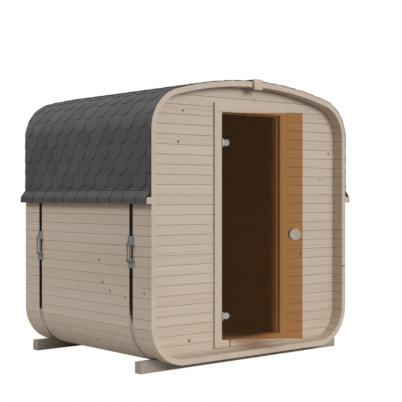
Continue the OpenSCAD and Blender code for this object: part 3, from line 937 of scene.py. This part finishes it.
class SAUNA_OT_shingles(Step, bpy.types.Operator):
    """Lays the round-ended shingles from each eave up to the ridge, and the ridge caps."""

    bl_idname = "sauna.shingles"
    bl_label = "Shingles"

    across = 7
    up = 7
    skirt_up = 19

    def execute(self, context):
        section = Section()
        path = RoofPath(section)
        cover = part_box("cover_crown_right")[1].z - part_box("roof_boards_right")[1].z
        sizes = context.scene.sauna_roof
        finish = [material_named("shingle_grit"), material_named("bitumen")]
        for side, sign in (("left", -1.0), ("right", 1.0)):
            stock = Stock()
            self.underlay(stock, section, path, sign)
            self.courses(stock, section, path, sizes, cover, sign)
            nodes = [f"cover_{part}_{side}" for part in ("crown", "corner", "side")]
            stock.build(f"shingles_{side}", finish, "cabin", nodes, "shingle", smooth=50)
        stock = Stock()
        self.ridge_caps(stock, section, sizes, cover)
        stock.build("ridge_caps", finish, "cabin", [], "shingle", smooth=50)
        return {"FINISHED"}

    def underlay(self, stock, section, path, sign):
        """A thin closed felt under the tabs, the path's own surface from front to rear. A black bitumen wedge
        fills the hollow under the flare at the eave: painted shade, a dark solid put where that hollow is only in
        shade.
        """
        p = np.linspace(0, path.length, 90)
        outer, inner = path.at(p, 0.0028), path.at(p[::-1], 0.0021)
        outline = np.concatenate([np.column_stack(outer), np.column_stack(inner)])
        points = np.zeros((2, len(outline), 3))
        points[:, :, 0] = sign * outline[:, 0]
        points[:, :, 2] = outline[:, 1]
        points[0, :, 1], points[1, :, 1] = section.front, section.rear
        stock.add(points, sweep_faces(2, len(outline)), slot=1)
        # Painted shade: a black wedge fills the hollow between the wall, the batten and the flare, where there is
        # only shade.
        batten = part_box("eave_batten_right")[1]
        painted_shade_wedge = np.array([[section.half, batten.z], [batten.x - 0.004, batten.z],
                          [section.half, batten.z + 0.050]])
        points = np.zeros((2, 3, 3))
        points[:, :, 0] = sign * painted_shade_wedge[:, 0]
        points[:, :, 2] = painted_shade_wedge[:, 1]
        points[0, :, 1], points[1, :, 1] = section.front + 0.001, section.rear - 0.001
        stock.add(points, sweep_faces(2, 3), slot=1)

    def courses(self, stock, section, path, sizes, cover, sign):
        """Every tab is a slab over (angle t across, share v up). Its free edge is the lower
        half of a circle, y = c + R sin t and p = tip + R - R cos t, and it thins upwards as
        it slips under the next course."""
        rng = np.random.default_rng(60 if sign < 0 else 61)
        half = (sizes.pitch - sizes.slot) / 2
        tips = np.concatenate([[0.0], np.arange(sizes.first_exposure, path.length - 0.03, sizes.exposure)])
        for course, tip in enumerate(tips):
            up = self.up if course else self.skirt_up
            top, rest = tab_faces(self.across, up)
            shift = 0.0 if course % 2 == 0 else -sizes.pitch / 2
            centres = section.front + sizes.first_slot + shift + sizes.pitch * (np.arange(-2, 13) + 0.5)
            centres = centres[(centres + half > section.front + 0.008) & (centres - half < section.rear - 0.008)]
            exposure = sizes.first_exposure if course == 0 else sizes.exposure
            reach = min(exposure + (sizes.exposure if course else 0.10), path.length - tip)
            t0 = np.arcsin(np.clip((section.front - centres) / half, -1, 1))
            t1 = np.arcsin(np.clip((section.rear - centres) / half, -1, 1))
            t = t0[:, None] + (t1 - t0)[:, None] * np.linspace(0, 1, self.across)
            y = centres[:, None] + half * np.sin(t)
            rise = half * (1 - np.cos(t)) * (0.0 if course == 0 else 1.0)
            v = np.linspace(0, 1, up)
            p = tip + rise[..., None] + (reach - rise[..., None]) * v
            wobble = rng.uniform(-0.0003, 0.0003, (len(centres), 1, 1))
            lift = cover - 0.0004 + wobble - sizes.fall * (p - tip) / exposure
            lift = lift if course else lift - 0.0010
            upper = np.maximum(lift, 0.0034)
            under = np.maximum(lift - sizes.thickness, 0.0029)
            tone = rng.uniform(0, 1, (len(centres), 1, 1, 1)) * np.ones((1, 2, self.across, up))
            y = np.broadcast_to(y[..., None], p.shape)
            slabs = []
            for height in (upper, under):
                x, z = path.at(p, height)
                slabs.append(np.stack([sign * x, y, z], -1))
            points = np.stack(slabs, 1)
            grain = np.stack([y, p + 3.0 * (1 + sign), np.full_like(p, course * 0.37)], -1)
            grain = np.stack([grain, grain], 1)
            count = 2 * self.across * up
            offset = (np.arange(len(centres)) * count)[:, None, None]
            stock.add(points, [(top + offset).reshape(-1, 4)], grain, tone.ravel(), 0)
            self.close(stock, len(centres) * count, [(rest + offset).reshape(-1, 4)])

    def close(self, stock, count, faces):
        """Adds bitumen faces to the points that were added last."""
        for table in faces:
            stock.loops.append((table + stock.count - count).ravel())
            stock.sizes.append(np.full(len(table), table.shape[1]))
            stock.slots.append(np.full(len(table), 1))

    def ridge_caps(self, stock, section, sizes, cover):
        """Short caps bent over the crown, each over the tail of the one in front of it."""
        rng = np.random.default_rng(62)
        length, width = 0.24, 0.15
        starts = np.arange(section.front, section.rear - 0.03, 0.145)
        top, rest = tab_faces(self.across, 4)
        for start in starts:
            end = min(start + length, section.rear)
            s = section.length + np.linspace(-width / 2, width / 2, self.across)[:, None]
            v = np.linspace(0, 1, 4)[None, :]
            y = start + (end - start) * v + 0 * s
            lift = cover + 0.0052 - 0.0046 * (y - start) / 0.145
            slabs = []
            for height in (np.maximum(lift, cover - 0.004), np.maximum(lift - sizes.thickness, cover - 0.005)):
                x, z, _, _ = section.walk(s + 0 * v, height)
                slabs.append(np.stack([x, y, z], -1))
            points = np.stack(slabs)
            grain = points + [0, 0, 5.0]
            stock.add(points, [top], grain, rng.uniform(0, 1), 0)
            self.close(stock, 2 * self.across * 4, [rest])


class SAUNA_OT_bands(Step, bpy.types.Operator):
    """Bends the two polished bands round the shell."""

    bl_idname = "sauna.bands"
    bl_label = "Steel bands"

    def execute(self, context):
        section = Section()
        for node in ("band_front", "band_rear"):
            low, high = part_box(node)
            thick = section.foot - low.z
            outline = np.array([[low.y, 0.0], [high.y, 0.0], [high.y, thick], [low.y, thick]])
            profile = eased(outline, thick * 0.4)
            s = np.linspace(0, 2 * section.length, 480, endpoint=False)[:, None]
            x, z, _, _ = section.walk(s + 0 * profile[None, :, 1], profile[None, :, 1])
            y = np.broadcast_to(profile[None, :, 0], x.shape)
            stock = Stock()
            stock.add(np.stack([x, y, z], -1), sweep_faces(len(s), len(profile), closed=True))
            # The bands wear the darker copy of the steel colour, painted shade for the dark surroundings they
            # reflect.
            stock.build(node + "_steel", [material_named("band_steel_painted_dark")], "cabin", [node], "stainless")
        return {"FINISHED"}


class SAUNA_OT_hardware(Step, bpy.types.Operator):
    """Finishes the band clamps and the hinges."""

    bl_idname = "sauna.hardware"
    bl_label = "Clamps and hinges"

    def execute(self, context):
        for node in NODES:
            if node.startswith("band_clamp"):
                dress(node, "clamp_steel")
            elif node.startswith("hinge"):
                # The hinges wear the lighter copy of the steel colour, painted light.
                dress(node, "hinge_metal")
        return {"FINISHED"}


class SAUNA_OT_door(Step, bpy.types.Operator):
    """Finishes the glass and turns the two round knobs."""

    bl_idname = "sauna.door"
    bl_label = "Glass door"

    def execute(self, context):
        dress("door_glass", "tinted_glass")
        record = next(j for j in frame["joints"] if j["name"] == "door_hinge")
        shut = np.radians(-record["range_deg"][0])
        out = np.array([-np.sin(shut), -np.cos(shut), 0.0])
        for node, direction in (("door_knob_outer", out), ("door_knob_inner", -out)):
            self.knob(node, direction)
        return {"FINISHED"}

    def knob(self, node, direction):
        """A turned knob: a collar, then a disc with a rounded rim and a shallow dish."""
        mesh = NODES[node].data
        places = np.zeros(len(mesh.vertices) * 3)
        mesh.vertices.foreach_get("co", places)
        places = places.reshape(-1, 3)
        along = places @ direction
        reach = along.max() - along.min()
        face = places[along > along.max() - 1e-4]
        centre = (face.max(0) + face.min(0)) / 2
        radius = np.linalg.norm(face - centre, axis=1).max()
        disc = self.disc_depth(along, places, centre, direction, radius)
        rim = np.linspace(0, np.pi / 2, 6)
        ease = 0.006
        front = [(-ease + ease * np.sin(a), radius - ease + ease * np.cos(a)) for a in rim]
        dish = [(-0.0008, radius * 0.72), (-0.0022, radius * 0.55), (-0.0026, radius * 0.25), (-0.0026, 0.0004)]
        back = [(-disc + ease - ease * np.sin(a), radius - ease + ease * np.cos(a)) for a in rim[::-1]]
        collar = [(-reach, 0.0004), (-reach, 0.0125), (-reach + 0.001, 0.013), (-disc - 0.002, 0.013),
                  (-disc, 0.016)]
        profile = np.array(collar + back + front + dish)
        stock = Stock()
        turned(stock, centre, direction, profile, 56, tone=0.35)
        stock.build(node + "_turned", [material_named("knob_wood")], "door", [node], "knob_wood")

    def disc_depth(self, along, places, centre, direction, radius):
        """How far the knob's full width reaches back from its face."""
        off = places - centre
        off = off - np.outer(off @ direction, direction)
        wide = np.linalg.norm(off, axis=1) > radius * 0.9
        return along.max() - along[wide].min()


# --- Studio --------------------------------------------------------------------------------

def area_light(name, place, turn, size, power):
    """A large soft light at a place, turned by angles in degrees."""
    data = bpy.data.lights.new(name, "AREA")
    data.shape = "RECTANGLE"
    data.size, data.size_y = size
    data.energy = power
    lamp = bpy.data.objects.new(name, data)
    lamp.location = place
    lamp.rotation_euler = Euler(np.radians(turn))
    bpy.context.scene.collection.objects.link(lamp)
    return lamp


class SAUNA_OT_studio(Step, bpy.types.Operator):
    """Sets up the pale floor, the soft lights and the camera."""

    bl_idname = "sauna.studio"
    bl_label = "Studio"

    def execute(self, context):
        sizes = context.scene.sauna_studio
        self.floor()
        self.world(sizes.daylight)
        area_light("key", (1.2, -10.0, 4.6), (68, 0, 7), (7.0, 4.0), sizes.key)
        area_light("side", (-6.5, 3.5, 6.0), (50, 0, -118), (4.0, 3.0), sizes.side)
        camera_data = bpy.data.cameras.new("camera")
        camera_data.lens = sizes.lens
        camera = bpy.data.objects.new("camera", camera_data)
        camera.location = sizes.camera_place
        camera.rotation_euler = Euler((np.pi / 2 + sizes.camera_tilt, 0, -sizes.camera_azimuth))
        context.scene.collection.objects.link(camera)
        context.scene.camera = camera
        context.scene.view_settings.view_transform = "Standard"
        return {"FINISHED"}

    def floor(self):
        """A pale disc of floor under the cabin, bright to the camera and matt to the light."""
        turn = np.linspace(0, 2 * np.pi, 96, endpoint=False)
        disc = np.column_stack([3.0 * np.cos(turn) - 0.3, 3.0 * np.sin(turn) + 1.5, np.full(96, -0.0005)])
        mesh = bpy.data.meshes.new("floor")
        mesh.from_pydata(disc.tolist(), [], [list(range(96))])
        floor = bpy.data.objects.new("floor", mesh)
        bpy.context.scene.collection.objects.link(floor)
        material, g, shader = blank("floor_paint")
        shader.inputs["Base Color"].default_value = (0.66, 0.65, 0.64, 1)
        shader.inputs["Roughness"].default_value = 0.9
        path = g.node("ShaderNodeLightPath")
        seen = self.seen(g, path)
        white = g.node("ShaderNodeEmission", in_Color=(1, 1, 1, 1), in_Strength=1.0)
        both = g.node("ShaderNodeMixShader", in_0=seen, in_1=shader.outputs[0], in_2=white.outputs[0])
        g.tree.links.new(both.outputs[0], g.tree.nodes["Material Output"].inputs["Surface"])
        mesh.materials.append(material)

    def world(self, strength):
        """White to the camera. Its light is soft and stronger from above, and polished steel
        and glass see a dark horizon under a bright ceiling."""
        world = bpy.data.worlds.new("studio")
        world.use_nodes = True
        bpy.context.scene.world = world
        g = Graph(world.node_tree)
        up = g.node("ShaderNodeSeparateXYZ", in_Vector=g.node("ShaderNodeTexCoord").outputs["Generated"])
        height = up.outputs[2]
        soft = g.spread(height, -0.2, 1.0, 0.55, 1.35)
        ceiling = g.spread(height, 0.25, 0.6, 0.022, 1.1)
        path = g.node("ShaderNodeLightPath")
        seen = self.seen(g, path)
        amount = g.mix(path.outputs["Is Glossy Ray"], self.grey(g, soft, strength), self.grey(g, ceiling, 1.0))
        amount = g.mix(seen, amount, (1, 1, 1, 1))
        back = world.node_tree.nodes["Background"]
        g.tree.links.new(amount, back.inputs["Color"])
        back.inputs["Strength"].default_value = 1.0

    def seen(self, g, path):
        """1 for what the camera sees straight on or through the glass, and 0 for light."""
        straight = g.math("LESS_THAN", path.outputs["Diffuse Depth"], 0.5)
        through = g.math("MULTIPLY", path.outputs["Is Transmission Ray"], straight)
        return g.math("MAXIMUM", path.outputs["Is Camera Ray"], through)

    def grey(self, g, value, strength):
        """A warm grey of that value times the strength."""
        parts = [g.math("MULTIPLY", value, strength * c) for c in (1.0, 0.965, 0.925)]
        return g.node("ShaderNodeCombineColor", in_0=parts[0], in_1=parts[1], in_2=parts[2]).outputs[0]


class SAUNA_PT_panel(bpy.types.Panel):
    """Lists the building steps and the sizes that they use."""

    bl_label = "Cube sauna"
    bl_idname = "SAUNA_PT_panel"
    bl_space_type = "VIEW_3D"
    bl_region_type = "UI"
    bl_category = "Sauna"

    def draw(self, context):
        for step in STEPS:
            self.layout.operator(step.bl_idname)
        for group in GROUPS:
            box = self.layout.box()
            for name in GROUPS[group].__annotations__:
                box.prop(getattr(context.scene, group), name)


GROUPS = {
    "sauna_boards": BoardSizes,
    "sauna_roof": RoofSizes,
    "sauna_finishes": Finishes,
    "sauna_studio": StudioSizes,
}
STEPS = (
    SAUNA_OT_shell, SAUNA_OT_end_walls, SAUNA_OT_door_frame, SAUNA_OT_skids, SAUNA_OT_eaves,
    SAUNA_OT_shingles, SAUNA_OT_bands, SAUNA_OT_hardware, SAUNA_OT_door, SAUNA_OT_studio,
)


def register():
    for group, kind in GROUPS.items():
        bpy.utils.register_class(kind)
        setattr(bpy.types.Scene, group, bpy.props.PointerProperty(type=kind))
    for kind in (*STEPS, SAUNA_PT_panel):
        bpy.utils.register_class(kind)


def unregister():
    for kind in (SAUNA_PT_panel, *reversed(STEPS)):
        bpy.utils.unregister_class(kind)
    for group, kind in reversed(GROUPS.items()):
        delattr(bpy.types.Scene, group)
        bpy.utils.unregister_class(kind)


def main():
    """Registers the add-on and runs every step."""
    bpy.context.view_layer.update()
    register()
    for step in STEPS:
        group, name = step.bl_idname.split(".")
        getattr(getattr(bpy.ops, group), name)()


if __name__ == "__main__":
    main()
